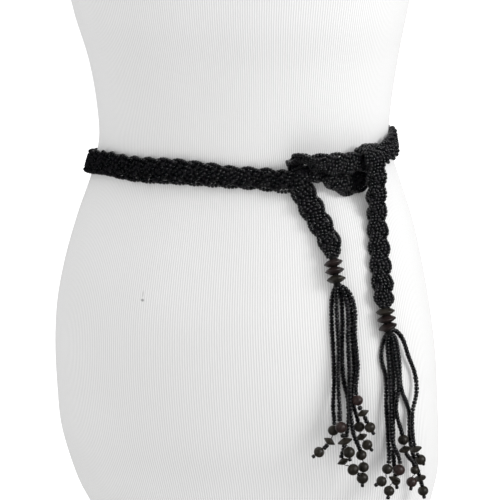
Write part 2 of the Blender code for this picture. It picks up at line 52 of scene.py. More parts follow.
SIDE_SHIFT = 0.01
to_camera = Vector(
    (
        math.sin(VIEW_TURN) * math.cos(VIEW_RISE),
        -math.cos(VIEW_TURN) * math.cos(VIEW_RISE),
        math.sin(VIEW_RISE),
    )
)
lens = bpy.data.cameras.new("studio_camera")
lens.sensor_width = SENSOR_WIDTH
lens.lens = FOCAL_LENGTH
lens.shift_x = SIDE_SHIFT
lens.clip_end = 100.0
camera = bpy.data.objects.new("studio_camera", lens)
camera.location = VIEW_POINT + to_camera * VIEW_DISTANCE
camera.rotation_euler = to_camera.to_track_quat("Z", "Y").to_euler()
bpy.context.collection.objects.link(camera)
bpy.context.scene.camera = camera


# Dress form: one limbless torso of stiff foam with a flat base, which carries everything else.
# Each row is a level of the body in millimetres, a rounded oval that changes from level to level.
# The foam shows only under the base, because a jersey cover is stretched over the rest.
MM = 0.001
FORM_ROWS = np.array(
    (
        # height, half_width, front, back, roundness
        (0, 155, 61, 135, 2.2),
        (30, 167, 78, 126, 2.2),
        (60, 175, 90, 124, 2.2),
        (90, 178, 104, 118, 2.2),
        (130, 178, 115, 115, 2.2),
        (170, 177, 121, 111, 2.2),
        (210, 173, 122, 104, 2.2),
        (250, 165.5, 115, 99, 2.2),
        (290, 155, 104, 96, 2.2),
        (330, 141, 96, 92, 2.2),
        (360, 132.5, 98, 86, 2.2),
        (390, 134, 101, 89, 2.2),
        (430, 140, 108, 92, 2.2),
        (473, 149, 120, 90, 2.3),
        (530, 160, 126, 96, 2.4),
        (575, 161, 120, 96, 2.4),
        (630, 165, 102, 94, 2.3),
        (680, 172, 85, 93, 2.3),
        (720, 170, 70, 84, 2.2),
        (742, 148, 60, 74, 2.15),
        (758, 108, 54, 66, 2.1),
        (775, 72, 50, 58, 2.0),
        (800, 58, 49, 53, 2.0),
        (830, 56, 48, 52, 2.0),
    ),
    float,
)


def form_size(column, height):
    """One column of the form's table at any height, on a smooth curve through its rows."""
    level, size = FORM_ROWS[:, 0], FORM_ROWS[:, column]
    height = np.clip(height, level[0], level[-1])
    i = np.clip(np.searchsorted(level, height, side="right") - 1, 0, len(level) - 2)
    step = np.diff(level)
    rise = np.diff(size) / step
    inner = (rise[1:] * step[:-1] + rise[:-1] * step[1:]) / (level[2:] - level[:-2])
    slope = np.concatenate([rise[:1], inner, rise[-1:]])
    t = (height - level[i]) / step[i]
    lower = (2 * t**3 - 3 * t**2 + 1) * size[i] + (t**3 - 2 * t**2 + t) * step[i] * slope[i]
    upper = (3 * t**2 - 2 * t**3) * size[i + 1] + (t**3 - t**2) * step[i] * slope[i + 1]
    return lower + upper


def on_form(turn, height, lift=0.0, level=None):
    """Points off the form, in millimetres: turn in degrees from its front to its left, height and lift."""
    level = height if level is None else level
    half_width, front, back = (form_size(column, level) for column in (1, 2, 3))
    power = 2.0 / form_size(4, level)
    across, ahead = np.sin(np.radians(turn)), np.cos(np.radians(turn))
    x = (half_width + lift) * np.sign(across) * np.abs(across) ** power
    y = (back - front) / 2 - ((front + back) / 2 + lift) * np.sign(ahead) * np.abs(ahead) ** power
    return np.stack(np.broadcast_arrays(x, y, height), axis=-1)


def new_finish(name):
    """A material, its Principled shader, and a short way to add a node with its inputs."""
    material = bpy.data.materials.new(name)
    material.use_nodes = True
    tree = material.node_tree

    def add(kind, inputs, **settings):
        node = tree.nodes.new("ShaderNode" + kind)
        for key, value in settings.items():
            setattr(node, key, value)
        for key, value in inputs.items():
            if isinstance(value, bpy.types.NodeSocket):
                tree.links.new(value, node.inputs[key])
            else:
                node.inputs[key].default_value = value
        return node.outputs[0]

    return material, tree.nodes["Principled BSDF"], add


def tones(add, value, low, high, start=0.0, end=1.0):
    """A run of colour from low to high over a value."""
    colour = add("ValToRGB", {"Fac": value})
    ends = colour.node.color_ramp.elements
    ends[0].position, ends[0].color = start, (*low, 1.0)
    ends[1].position, ends[1].color = end, (*high, 1.0)
    return colour


def drive(shader, **sockets):
    """Link values into a shader's sockets, or set them."""
    for name, value in sockets.items():
        socket = shader.inputs[name.replace("_", " ")]
        if isinstance(value, bpy.types.NodeSocket):
            shader.id_data.links.new(value, socket)
        else:
            socket.default_value = value


def dress(piece, *materials):
    piece.data.materials.clear()
    for material in materials:
        piece.data.materials.append(material)


foam, shader, add = new_finish("form_foam")
where = add("TexCoord", {}).node.outputs["Object"]
blotches = add("TexNoise", {"Vector": where, "Scale": 18.0, "Detail": 4.0})
cells = add("TexVoronoi", {"Vector": where, "Scale": 420.0})
drive(
    shader,
    Base_Color=tones(add, blotches, (0.6, 0.58, 0.53), (0.72, 0.7, 0.66), 0.35, 0.65),
    Roughness=0.9,
    Normal=add("Bump", {"Height": cells, "Strength": 0.5, "Distance": 0.0006}),
)
dress(bpy.data.objects["dress_form"], foam)

# Jersey cover: white ribbed cotton jersey, cut as one tube and stretched over the form.
# It is seamed up the back, turned up in a narrow hem at the base and gathered to a point on the neck.
COVER_COLUMNS = 220
COVER_ROWS = 130
COVER_LIFT = 0.2
COVER_THICKNESS = 0.35
COVER_TOP_SHARE = 0.93
COVER_START = 0.6
NECK_TOP = 830.0
NECK_RISE = 5.0
NECK_ROUNDING = 5.5
SEAM_TURN = 180.0
RING_POINTS = 1441
JOINED_WITHIN = 0.0001
HEM_DEPTH = 14.0
HEM_LIFT = 0.45
HOLLOWS = (
    # height, reach, lift: where the cloth spans a hollow of the foam
    (473.0, 24.0, 0.5),
    (785.0, 24.0, 1.15),
)
RIBS_ROUND = 405
STITCHES_TALL = 4300.0
STITCH_LEAN = 1.6
MARKS = (
    # place in metres, width and height in metres, tone: a small stain on the cloth and its faint trail
    ((-0.0532, -0.1163, 0.2272), 0.0017, 0.0012, 0.42),
    ((-0.0531, -0.1153, 0.2325), 0.0009, 0.0034, 0.80),
)

bpy.ops.object.select_all(action="DESELECT")
bpy.ops.mesh.primitive_grid_add(x_subdivisions=COVER_COLUMNS, y_subdivisions=COVER_ROWS, size=1.0)
cover = bpy.context.object
cover.name = cover.data.name = "jersey_cover"
flat = np.empty(len(cover.data.vertices) * 3)
cover.data.vertices.foreach_get("co", flat)
across, along = flat.reshape(-1, 3)[:, 0] + 0.5, flat.reshape(-1, 3)[:, 1] + 0.5
cloth = np.empty((len(along), 3))
for row in np.unique(along):
    here = along == row
    height = COVER_START + (NECK_TOP - COVER_START) * min(row / COVER_TOP_SHARE, 1.0)
    inward = max(row - COVER_TOP_SHARE, 0.0) / (1.0 - COVER_TOP_SHARE)
    hem = HEM_LIFT / (1.0 + math.exp(min(height - HEM_DEPTH, 60.0)))
    span = sum(lift * math.exp(-(((height - level) / reach) ** 2)) for level, reach, lift in HOLLOWS)
    turns = np.linspace(SEAM_TURN, SEAM_TURN + 360.0, RING_POINTS)
    around = on_form(turns, height, COVER_LIFT + hem + span)
    run = np.concatenate([[0.0], np.cumsum(np.linalg.norm(np.diff(around, axis=0), axis=1))])
    stops = across[here] * run[-1]
    ring = np.stack([np.interp(stops, run, around[:, axis]) for axis in range(3)], axis=-1)
    middle = around.mean(axis=0)
    ring[:, :2] = middle[:2] + (ring[:, :2] - middle[:2]) * (1.0 - inward)
    inset = inward * float(form_size(1, NECK_TOP))
    ring[:, 2] += NECK_RISE * (1.0 - math.exp(-inset / NECK_ROUNDING)) + COVER_LIFT * (inward > 0)
    cloth[here] = ring
cover.data.vertices.foreach_set("co", (cloth * MM).ravel())
bpy.ops.object.mode_set(mode="EDIT")
bpy.ops.mesh.select_all(action="SELECT")
bpy.ops.mesh.remove_doubles(threshold=JOINED_WITHIN)
bpy.ops.mesh.normals_make_consistent(inside=False)
bpy.ops.object.mode_set(mode="OBJECT")
wall = cover.modifiers.new("wall", "SOLIDIFY")
wall.thickness = COVER_THICKNESS * MM
wall.offset = 1.0
bpy.ops.object.modifier_apply(modifier=wall.name)
bpy.ops.object.shade_smooth()

jersey, shader, add = new_finish("white_rib_jersey")
uv = add("UVMap", {})
u = add("SeparateXYZ", {"Vector": uv})
v = u.node.outputs["Y"]
rib_run = add("Math", {0: u, 1: RIBS_ROUND * math.tau}, operation="MULTIPLY")
rib_wave = add("Math", {0: rib_run}, operation="COSINE")
rib = add("MapRange", {"Value": rib_wave, "From Min": -1.0})
stitch_lean = add("Math", {0: rib_wave, 1: STITCH_LEAN}, operation="MULTIPLY")
stitch_run = add("Math", {0: v, 1: STITCHES_TALL, 2: stitch_lean}, operation="MULTIPLY_ADD")
stitch = add("Math", {0: stitch_run}, operation="SINE")
where = add("TexCoord", {}).node.outputs["Object"]
slubs = add("TexNoise", {"Vector": where, "Scale": 260.0, "Detail": 3.0})
clouds = add("TexNoise", {"Vector": where, "Scale": 7.0, "Detail": 2.0})
relief = add("Math", {0: stitch, 1: 0.10, 2: rib}, operation="MULTIPLY_ADD")
relief = add("Math", {0: slubs, 1: 0.5, 2: relief}, operation="MULTIPLY_ADD")
# Painted shade: the grooves between the ribs are coloured darker than the ridges, in place of the shade that
# falls in them; the yarn itself is one even white.
rib_groove_painted_shade = tones(add, rib, (0.71, 0.71, 0.71), (0.90, 0.90, 0.90))
cloud_tone = tones(add, clouds, (0.97, 0.97, 0.965), (1.0, 1.0, 1.0), 0.35, 0.65)
cloth_tone = add("Mix", {0: 1.0, 6: rib_groove_painted_shade, 7: cloud_tone}, data_type="RGBA", blend_type="MULTIPLY")
cloth_tone = cloth_tone.node.outputs[2]
for place, width, tall, tone in MARKS:
    offset = add("VectorMath", {0: where, 1: place}, operation="SUBTRACT")
    offset = add("VectorMath", {0: offset, 1: (1 / width, 1 / width, 1 / tall)}, operation="MULTIPLY")
    distance = add("VectorMath", {0: offset}, operation="LENGTH").node.outputs["Value"]
    clean = add("MapRange", {"Value": distance, "From Min": 0.5, "From Max": 1.3, "To Min": tone})
    cloth_tone = add("VectorMath", {0: cloth_tone, "Scale": clean}, operation="SCALE")
drive(
    shader,
    Base_Color=cloth_tone,
    Roughness=0.9,
    Sheen_Weight=0.15,
    Sheen_Roughness=0.5,
    Specular_IOR_Level=0.25,
    Normal=add("Bump", {"Height": relief, "Strength": 0.6, "Distance": 0.0003}),
)
dress(cover, jersey)
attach(cover, "root")

# Braid of the belt: four groups of three seed-bead strands cross over and under each other edge to edge.
# One braid runs from the left tail's end through the knot, round the waist and down the right tail.
# turn is in degrees from the front to the form's left; lift is the middle's way off the form in millimetres.
LEFT_TIE_ROUTE = (
    # turn, height, lift, width
    (40.2, 271.6, 9.2, 1.0),
    (40.3, 279.4, 7.8, 1.0),
    (39.6, 288.3, 5.4, 1.0),
    (37.0, 302.2, 4.8, 1.08),
    (34.0, 318.7, 4.8, 1.12),
    (32.6, 328.5, 4.8, 1.05),
    (32.2, 341.0, 4.8, 0.83),
    (31.5, 347.8, 5.7, 0.75),
    (31.9, 353.7, 15.8, 0.78),
    (33.4, 356.4, 22.7, 0.88),
    (35.8, 353.9, 25.8, 0.95),
    (41.0, 351.6, 23.2, 1.0),
    (46.9, 350.5, 20.0, 1.0),
    (53.0, 350.3, 16.9, 0.92),
    (59.1, 349.9, 15.5, 0.78),
    (65.9, 349.2, 15.3, 0.71),
    (73.2, 353.9, 13.0, 0.9),
    (82.0, 356.9, 10.4, 1.05),
)
WAIST_ROUTE = (
    # turn, height, lift, width
    (101.0, 361.0, 5.4, 1.05),
    (120.0, 362.0, 4.8, 1.05),
    (150.0, 358.5, 4.8, 1.05),
    (180.0, 352.0, 4.8, 1.05),
    (210.0, 345.0, 4.8, 1.05),
    (240.0, 338.5, 4.8, 1.05),
    (270.0, 336.0, 4.8, 1.05),
    (295.0, 339.0, 4.8, 1.05),
    (317.3, 341.4, 4.8, 1.08),
    (330.2, 339.6, 4.8, 1.1),
    (340.0, 339.4, 4.8, 1.14),
    (349.0, 339.8, 4.8, 1.14),
    (358.6, 338.8, 4.8, 1.08),
    (368.5, 336.9, 4.8, 0.98),
)
RIGHT_TIE_ROUTE = (
    # turn, height, lift, width
    (378.4, 336.0, 4.8, 1.0),
    (383.4, 334.9, 7.2, 1.05),
    (387.1, 335.0, 11.6, 1.0),
    (391.1, 338.2, 14.6, 0.9),
    (395.4, 342.0, 14.4, 0.88),
    (400.1, 342.8, 12.2, 0.92),
    (404.9, 338.0, 8.6, 1.0),
    (409.8, 332.1, 5.6, 1.05),
    (416.2, 331.2, 4.8, 1.05),
    (420.9, 337.0, 4.8, 1.0),
    (422.9, 345.9, 4.8, 0.95),
    (424.0, 354.9, 6.4, 0.81),
    (423.4, 362.2, 14.5, 0.86),
    (422.2, 358.8, 24.0, 0.88),
    (422.2, 349.2, 25.4, 0.95),
    (421.4, 339.6, 23.6, 1.0),
    (421.3, 330.6, 20.0, 1.0),
    (421.5, 320.2, 15.5, 1.0),
    (422.3, 309.6, 10.0, 1.0),
    (422.7, 299.3, 6.0, 1.0),
    (422.0, 286.5, 4.8, 1.05),
    (421.0, 265.6, 4.8, 1.05),
    (420.3, 249.0, 5.6, 1.05),
    (419.3, 236.2, 8.2, 1.0),
    (418.7, 227.3, 9.2, 1.0),
)
MM_PER_TURN_DEGREE = 2.1
ROUTE_PIECES = 24
SCALLOP = 15.7
STATION = SCALLOP / 4
FINE = 8
LIES_FLAT = 0.85
TURN_TO_FORM = 0.3
GROUPS = 4
GROUP_SWING = 5.5
GROUP_WEAVE = 2.4
SWING_SHARPNESS = 0.95
STRAND_PITCH = 3.4
WAIST_STRAIGHTNESS = 0.6
WAIST_EASE = 60.0
TAIL_TAPER = 9.0
TAIL_END_SCALE = 0.55
GATHER_START = 6.0
GATHER_DROP = 3.2
GATHERED_SHARE = 0.4


def length_of(vectors):
    return np.linalg.norm(vectors, axis=-1, keepdims=True)


def hermite(start, first, end, last, t):
    lower = start * (2 * t**3 - 3 * t**2 + 1) + first * (t**3 - 2 * t**2 + t)
    return lower + end * (3 * t**2 - 2 * t**3) + last * (t**3 - t**2)


def smooth_through(points, pieces):
    """Points on a smooth curve through the given points, with as many pieces to each span."""
    padded = np.concatenate([[points[0] * 2 - points[1]], points, [points[-1] * 2 - points[-2]]])
    t = (np.arange(pieces) / pieces)[:, None]
    curve = []
    for before, start, end, after in zip(padded, padded[1:], padded[2:], padded[3:]):
        lead, span, tail = (length_of(step)[0] for step in (start - before, end - start, after - end))
        first = ((start - before) / lead * span + (end - start) / span * lead) / (lead + span) * span
        last = ((end - start) / span * tail + (after - end) / tail * span) / (span + tail) * span
        curve.append(hermite(start, first, end, last, t))
    return np.concatenate(curve + [points[-1:]])


def run_of(points):
    """The distance run along a line up to each of its points."""
    return np.concatenate([[0.0], np.cumsum(length_of(np.diff(points, axis=0))[:, 0])])


def at_runs(points, run, stops):
    """The line's points, or any columns carried along it, at given distances."""
    return np.stack([np.interp(stops, run, points[:, axis]) for axis in range(points.shape[1])], axis=-1)


def headings_of(points):
    steps = np.gradient(points, axis=0)
    return steps / length_of(steps)


def turn_at(place):
    """The turn of the form's point nearest to a place at the same height."""
    x, y, z = place
    half_width, front, back = (float(form_size(column, z)) for column in (1, 2, 3))
    power = float(form_size(4, z)) / 2.0
    across, ahead = x / half_width, -(y - (back - front) / 2) / ((front + back) / 2)
    return math.degrees(
        math.atan2(math.copysign(abs(across) ** power, across), math.copysign(abs(ahead) ** power, ahead))
    )


def off_form(turn, height):
    """The form's outward direction at a turn and a height."""
    around = on_form(turn + 0.5, height) - on_form(turn - 0.5, height)
    outward = np.cross(around, on_form(turn, height + 1.0) - on_form(turn, height - 1.0))
    return outward / np.linalg.norm(outward)


def face_outward(places, headings, outward):
    """An outward direction at each station, carried along the braid and turned to face off the form."""
    facing = []
    for place, heading in zip(places, headings):
        outward = outward - heading * outward.dot(heading)
        outward = outward / np.linalg.norm(outward)
        flat = off_form(turn_at(place), place[2])
        flat = flat - heading * flat.dot(heading)
        if np.linalg.norm(flat) > LIES_FLAT:
            outward = outward + flat * math.copysign(TURN_TO_FORM, flat.dot(outward))
            outward = outward / np.linalg.norm(outward)
        facing.append(outward)
    return np.array(facing)


route_rows = np.array(LEFT_TIE_ROUTE + WAIST_ROUTE + RIGHT_TIE_ROUTE)
unrolled = smooth_through(route_rows[:, :3] * (MM_PER_TURN_DEGREE, 1.0, 1.0), ROUTE_PIECES)
route = on_form(unrolled[:, 0] / MM_PER_TURN_DEGREE, unrolled[:, 1], unrolled[:, 2])
route_run = run_of(route)
route_width = np.interp(np.arange(len(route)) / ROUTE_PIECES, np.arange(len(route_rows)), route_rows[:, 3])
station_count = round(route_run[-1] / STATION)
stations = at_runs(route, route_run, np.linspace(0.0, route_run[-1], station_count + 1))
station_facing = face_outward(stations, headings_of(stations), off_form(*LEFT_TIE_ROUTE[0][:2]))
station_along = np.arange(station_count + 1) * STATION
BRAID_LENGTH = station_along[-1]
braid_along = np.linspace(0.0, BRAID_LENGTH, station_count * FINE + 1)
braid_places = at_runs(route, route_run, braid_along * route_run[-1] / BRAID_LENGTH)
braid_headings = headings_of(braid_places)
braid_outward = at_runs(station_facing, station_along, braid_along)
braid_outward -= braid_headings * (braid_outward * braid_headings).sum(axis=1, keepdims=True)
braid_outward /= length_of(braid_outward)
braid_sideways = np.cross(braid_outward, braid_headings)
braid_width = np.interp(braid_along * route_run[-1] / BRAID_LENGTH, route_run, route_width)
waist_start, waist_end = (
    np.argmin(length_of(stations - on_form(*row[:3]))[:, 0]) * STATION
    for row in (WAIST_ROUTE[0], RIGHT_TIE_ROUTE[0])
)


def strand_in_braid(group, side):
    """The line of one seed-bead strand, in millimetres, and the distance along the braid at each point."""
    phase = 2 * math.pi * (braid_along / (GROUPS * SCALLOP) + group / GROUPS)
    zigzag = np.arcsin(SWING_SHARPNESS * np.cos(phase)) / math.asin(SWING_SHARPNESS)
    wave = np.sin(math.pi / 2 * np.cos(phase))
    into_waist = np.minimum(braid_along - waist_start, waist_end - braid_along) / WAIST_EASE
    swing = GROUP_SWING * (zigzag + (wave - zigzag) * WAIST_STRAIGHTNESS * np.clip(into_waist, 0.0, 1.0))
    weave = GROUP_WEAVE * np.sin(3 * phase)
    slope = np.gradient(swing, braid_along)
    norm = np.sqrt(1.0 + slope**2)
    place_along = np.clip(braid_along - side * STRAND_PITCH * slope / norm, 0.0, BRAID_LENGTH)
    from_end = np.minimum(place_along, BRAID_LENGTH - place_along)
    narrow = np.sin(np.minimum(from_end / TAIL_TAPER, 1.0) * math.pi / 2)
    narrow = TAIL_END_SCALE + (1.0 - TAIL_END_SCALE) * narrow
    width = np.interp(place_along, braid_along, braid_width)
    across = (swing + side * STRAND_PITCH / norm) * width * narrow
    gathered = np.clip(1.0 - from_end / GATHER_START, 0.0, 1.0)
    share = 1.0 - (1.0 - GATHERED_SHARE) * gathered**2
    drop = GATHER_DROP * gathered**2 * np.where(place_along < BRAID_LENGTH / 2, -1.0, 1.0)
    middle = at_runs(braid_places, braid_along, place_along)
    middle = middle + at_runs(braid_headings, braid_along, place_along) * drop[:, None]
    sideways = at_runs(braid_sideways, braid_along, place_along)
    outward = at_runs(braid_outward, braid_along, place_along)
    aside = sideways * (across * share)[:, None] + outward * (weave * narrow * share)[:, None]
    return middle + aside, place_along


def pick(piece, inside):
    """Select a piece's points by their place, and go to edit mode."""
    bpy.ops.object.mode_set(mode="EDIT")
    bpy.ops.mesh.select_all(action="DESELECT")
    bpy.ops.object.mode_set(mode="OBJECT")
    points = piece.data.vertices
    for point in points:
        point.select = inside(point.co)
    for edge in piece.data.edges:
        edge.select = all(points[i].select for i in edge.vertices)
    for face in piece.data.polygons:
        face.select = all(points[i].select for i in face.vertices)
    bpy.ops.object.mode_set(mode="EDIT")


def drilled_ball(name, segments, rings, hole, radius, half_length):
    """A ball with a hole from end to end: its poles are cut away and a wall joins the two openings."""
    bpy.ops.object.select_all(action="DESELECT")
    bpy.ops.mesh.primitive_uv_sphere_add(segments=segments, ring_count=rings, radius=1.0)
    ball = bpy.context.object
    ball.name = ball.data.name = name
    first_ring = math.pi / rings
    pick(ball, lambda place: abs(place.z) > math.cos(first_ring / 2))
    bpy.ops.mesh.delete(type="VERT")
    mouth = hole / radius / math.sin(first_ring)
    pick(ball, lambda place: abs(place.z) > math.cos(first_ring * 1.5))
    bpy.ops.transform.resize(value=(mouth, mouth, 1.0), center_override=(0.0, 0.0, 0.0))
    bpy.ops.mesh.bridge_edge_loops()
    bpy.ops.mesh.select_all(action="SELECT")
    tall = half_length / math.cos(first_ring)
    bpy.ops.transform.resize(value=(radius, radius, tall), center_override=(0.0, 0.0, 0.0))
    bpy.ops.mesh.normals_make_consistent(inside=False)
    bpy.ops.object.mode_set(mode="OBJECT")
    return ball


def put_by(piece):
    """Keep a piece's mesh as a pattern to copy, as (points, faces), and take the piece out of the scene."""
    points = np.array([tuple(point.co) for point in piece.data.vertices])
    faces = [tuple(face.vertices) for face in piece.data.polygons]
    bpy.data.objects.remove(piece)
    return points, faces


# One seed bead: a short length of black glass tube with rounded rims, modelled once and copied.
SEED_RADIUS = 1.75
SEED_HALF_LENGTH = 1.5
SEED_HOLE = 0.55
SEED_PITCH = 3.1
SEED_SIDES = 10
SEED_RINGS = 6
SHOULDER_REACH = 1.5
SHOULDER_INNER = 0.6
SHOULDER_OUTER = 0.95
seed = drilled_ball("seed_bead", SEED_SIDES, SEED_RINGS, SEED_HOLE, SEED_RADIUS, SEED_HALF_LENGTH)
pick(seed, lambda place: SHOULDER_INNER < math.hypot(place.x, place.y) / SEED_RADIUS < SHOULDER_OUTER)
bpy.ops.transform.resize(value=(1.0, 1.0, SHOULDER_REACH), center_override=(0.0, 0.0, 0.0))
bpy.ops.object.mode_set(mode="OBJECT")
seed_pattern = put_by(seed)

THREAD_RADIUS = 0.42
THREAD_SIDES = 4
THREAD_STEP = 1.6
FIRST_SIDE = (0.3, 0.2, 1.0)
GIRTH_SPREAD = 0.045
LENGTH_SPREAD = 0.03
BEAD_LEAN = 0.09
LEAST_GIRTH = 1.0
MOST_GIRTH = 1.15


def copies_of(pattern, places, axes, sizes, spins):
    """Many copies of a pattern, each stood along its axis, as (points, faces)."""
    points, faces = pattern
    axes = axes / length_of(axes)
    aside = np.where(np.abs(axes[:, 2:3]) > 0.9, np.array([[1.0, 0.0, 0.0]]), np.array([[0.0, 0.0, 1.0]]))
    first = np.cross(aside, axes)
    first /= length_of(first)
    second = np.cross(axes, first)
    cos, sin = np.cos(spins)[:, None], np.sin(spins)[:, None]
    first, second = first * cos + second * sin, second * cos - first * sin
    turned = np.einsum("npk,nkc->npc", points[None] * sizes[:, None], np.stack([first, second, axes], axis=1))
    count = len(points)
    moved = (turned + places[:, None]).reshape(-1, 3)
    return moved, [tuple(i + count * n for i in face) for n in range(len(places)) for face in faces]


def tube_along(line, radius, sides):
    """A closed tube along a line, as (points, faces)."""
    headings = headings_of(line)
    across = np.empty_like(line)
    last = np.array(FIRST_SIDE)
    for i, heading in enumerate(headings):
        last = last - heading * last.dot(heading)
        last = last / np.linalg.norm(last)
        across[i] = last
    upward = np.cross(headings, across)
    angles = np.arange(sides) * math.tau / sides
    round_about = across[:, None] * np.cos(angles)[:, None] + upward[:, None] * np.sin(angles)[:, None]
    points = (line[:, None] + round_about * radius).reshape(-1, 3)
    faces = [tuple(reversed(range(sides))), tuple(len(points) - sides + k for k in range(sides))]
    for i in range(len(line) - 1):
        for k in range(sides):
            j = (k + 1) % sides
            faces.append((i * sides + k, i * sides + j, (i + 1) * sides + j, (i + 1) * sides + k))
    return points, faces


def strung_piece(name, beads, threads, chance):
    """Seed beads and their threads as one mesh; beads are (places, axes, girths) in millimetres."""
    places, axes, girths = (np.concatenate(part) for part in zip(*beads))
    count = len(places)
    across = girths * chance.normal(1.0, GIRTH_SPREAD, count)
    sizes = np.stack([across, across, chance.normal(1.0, LENGTH_SPREAD, count)], axis=-1)
    axes = axes + chance.normal(0.0, BEAD_LEAN, (count, 3))
    points, faces = copies_of(seed_pattern, places, axes, sizes, chance.uniform(0.0, math.tau, count))
    glass_faces = len(faces)
    tone = np.repeat(chance.uniform(0.0, 1.0, count), len(seed_pattern[0]))
    stacks = [points]
    for line in threads:
        tube_points, tube_faces = tube_along(line, THREAD_RADIUS, THREAD_SIDES)
        start = sum(len(stack) for stack in stacks)
        faces += [tuple(i + start for i in face) for face in tube_faces]
        stacks.append(tube_points)
    points = np.concatenate(stacks) * MM
    mesh = bpy.data.meshes.new(name)
    mesh.from_pydata(points.tolist(), [], faces)
    mesh.polygons.foreach_set("material_index", [int(i >= glass_faces) for i in range(len(faces))])
    bead_tone = mesh.attributes.new("bead_tone", "FLOAT", "POINT")
    bead_tone.data.foreach_set("value", np.concatenate([tone, np.zeros(len(points) - len(tone))]))
    mesh.shade_smooth()
    piece = bpy.data.objects.new(name, mesh)
    bpy.context.collection.objects.link(piece)
    dress(piece, seed_glass, waxed_thread)
    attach(piece, "root")
    return piece


seed_glass, shader, add = new_finish("black_seed_glass")
bead_tone = add("Attribute", {}, attribute_name="bead_tone").node.outputs["Fac"]
where = add("TexCoord", {}).node.outputs["Object"]
smudges = add("TexNoise", {"Vector": where, "Scale": 900.0, "Detail": 2.0})
hues = tones(add, bead_tone, (0.003, 0.0044, 0.0052), (0.0062, 0.0052, 0.0085))
middle_hue = hues.node.color_ramp.elements.new(0.5)
middle_hue.color = (0.0045, 0.0045, 0.005, 1.0)
wear = add("Math", {0: smudges, 1: 0.35, 2: bead_tone}, operation="MULTIPLY_ADD")
drive(
    shader,
    Base_Color=hues,
    Roughness=add("MapRange", {"Value": wear, "From Max": 1.35, "To Min": 0.17, "To Max": 0.48}),
    Specular_IOR_Level=0.9,
)
waxed_thread, shader, add = new_finish("black_waxed_thread")
where = add("TexCoord", {}).node.outputs["Object"]
fibres = add("TexNoise", {"Vector": where, "Scale": 2500.0, "Detail": 2.0})
drive(
    shader,
    Base_Color=tones(add, fibres, (0.002, 0.002, 0.002), (0.008, 0.008, 0.008), 0.35, 0.65),
    Roughness=0.6,
    Specular_IOR_Level=0.3,
    Normal=add("Bump", {"Height": fibres, "Strength": 0.4, "Distance": 0.0001}),
)

WAIST_MIDDLE = (waist_start + waist_end) / 2
STRETCHES = (
    # piece, node, start, end
    ("left_tie_beads", "tie_left", 0.0, waist_start),
    ("waist_back_beads", "belt_waist", waist_start, WAIST_MIDDLE),
    ("waist_front_beads", "belt_waist", WAIST_MIDDLE, waist_end),
    ("right_tie_beads", "tie_right", waist_end, BRAID_LENGTH),
)
chance = np.random.default_rng(7)
strands = []
for group in range(GROUPS):
    for side in (-1, 0, 1):
        line, line_along = strand_in_braid(group, side)
        run = run_of(line)
        stops = np.arange(SEED_HALF_LENGTH + chance.uniform(0.0, 2.0), run[-1] - SEED_HALF_LENGTH, SEED_PITCH)
        places = at_runs(line, run, stops)
        axes = at_runs(headings_of(line), run, stops)
        bead_along = np.interp(stops, run, line_along)
        girths = np.clip(np.interp(bead_along, braid_along, braid_width), LEAST_GIRTH, MOST_GIRTH)
        strands.append((line, line_along, run, places, axes, girths, bead_along))
for name, node, start, end in STRETCHES:
    beads, threads = [], []
    for line, line_along, run, places, axes, girths, bead_along in strands:
        here = (bead_along >= start) & (bead_along < end)
        beads.append((places[here], axes[here], girths[here]))
        limits = np.interp((start, end), line_along, run)
        threads.append(at_runs(line, run, np.arange(limits[0], limits[1], THREAD_STEP)))
    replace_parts(strung_piece(name, beads, threads, chance), node)

# Wood collars: three flat turned beads of waxed dark wood, brown or olive, are stacked below each tail.
# They sit a little askew on the bound core of threads that runs from the braid's end to the tassel.
CORE_RADIUS = 3.0
CORE_LEAD = 1.8
CORE_TIP = 1.5
COLLAR_RADIUS = 8.25
COLLAR_BORE = 3.9
COLLAR_HALF_THICKNESS = 3.1
COLLAR_RIM = 0.5
COLLAR_ROUNDING = 0.25
COLLAR_SIDES = 40
COLLAR_SPIN = 1.7
SHOULDER = 0.5
FULLNESS = 0.06
ROUNDING_SEGMENTS = 3
ROUNDED_ABOVE = math.radians(25)
SMOOTH_BELOW = math.radians(40)
COLLARS = {
    "left": (
        # distance below the braid's end, tilt in degrees, wood
        (6.0, 4.0, "brown"),
        (12.8, 1.0, "brown"),
        (20.1, -1.0, "olive"),
    ),
    "right": (
        (4.6, -2.0, "olive"),
        (11.2, 1.0, "brown"),
        (18.1, 10.0, "brown"),
    ),
}
ROOTS = {"left": (41.2, 247.3, 9.2), "right": (59.3, 204.6, 9.2)}
BRAID_ENDS = {
    "left": (braid_places[0], -braid_headings[0]),
    "right": (braid_places[-1], braid_headings[-1]),
}


